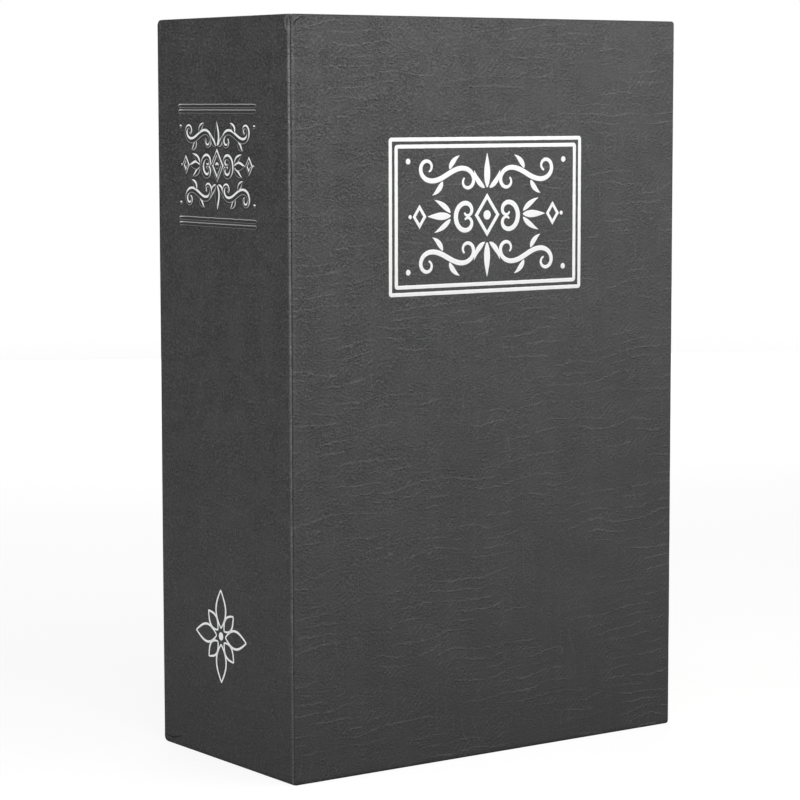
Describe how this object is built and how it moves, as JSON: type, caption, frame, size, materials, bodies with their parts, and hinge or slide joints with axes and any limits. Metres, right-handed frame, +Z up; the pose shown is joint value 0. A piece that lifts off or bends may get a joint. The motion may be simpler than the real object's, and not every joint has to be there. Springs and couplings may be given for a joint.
{
  "type": "book diversion safe",
  "caption": "Hardback book whose front cover opens on a moulded page frame with a steel lock box, hinged steel door and key cam lock.",
  "frame": {"origin": "on the floor under the middle of the standing, closed book", "axes": "+Z up from tail to head of the book, -Y out of the front cover, -X out of the spine"},
  "size_m": [0.116, 0.06, 0.18],
  "materials": {
    "cover_paper": "embossed matt book covering",
    "greyboard": "raw board",
    "endpaper": "plain matt",
    "page_plastic": "moulded, ribbed edges",
    "black_steel": "fine textured powder coat",
    "bright_steel": "zinc plated",
    "lock_plating": "polished",
    "wafer_brass": "stamped"
  },
  "bodies": {
    "root": {"case_wrap": "cover_paper", "spine_board": "greyboard", "back_board": "greyboard", "back_endpaper": "endpaper", "joint_strip": "cover_paper", "page_frame": "page_plastic", "safe_tray": "black_steel", "strike_plate": "bright_steel", "hinge_pin_upper": "bright_steel", "hinge_pin_lower": "bright_steel", "tray_screw_1": "bright_steel", "tray_screw_2": "bright_steel", "tray_screw_3": "bright_steel", "tray_screw_4": "bright_steel"},
    "front_cover": {"front_wrap": "cover_paper", "front_board": "greyboard", "front_endpaper": "endpaper"},
    "door": {"door_panel": "black_steel", "lock_housing": "lock_plating", "lock_washer": "bright_steel", "lock_nut": "bright_steel"},
    "lock_core": {"lock_plug": "lock_plating", "lock_wafer_1": "wafer_brass", "lock_wafer_2": "wafer_brass", "lock_wafer_3": "wafer_brass", "lock_wafer_4": "wafer_brass", "lock_wafer_5": "wafer_brass", "lock_cam": "bright_steel", "cam_washer": "bright_steel", "cam_screw": "bright_steel"}
  },
  "joints": [
    {"name": "cover_hinge", "type": "hinge", "parent": "root", "child": "front_cover", "pos_m": [-0.058, -0.03, 0.09], "axis": [0, 0, -1], "range_deg": [0, 180], "deforming": ["joint_strip"]},
    {"name": "door_hinge", "type": "hinge", "parent": "root", "child": "door", "pos_m": [-0.04345, -0.0245, 0.09], "axis": [0, 0, -1], "range_deg": [0, 108]},
    {"name": "key_turn", "type": "hinge", "parent": "door", "child": "lock_core", "pos_m": [0.02845, -0.0245, 0.09], "axis": [0, 1, 0], "range_deg": [0, 90]}
  ],
  "couplings": [
    {"joint": "door_hinge", "follows": "cover_hinge", "ratio": 0.6}
  ]
}
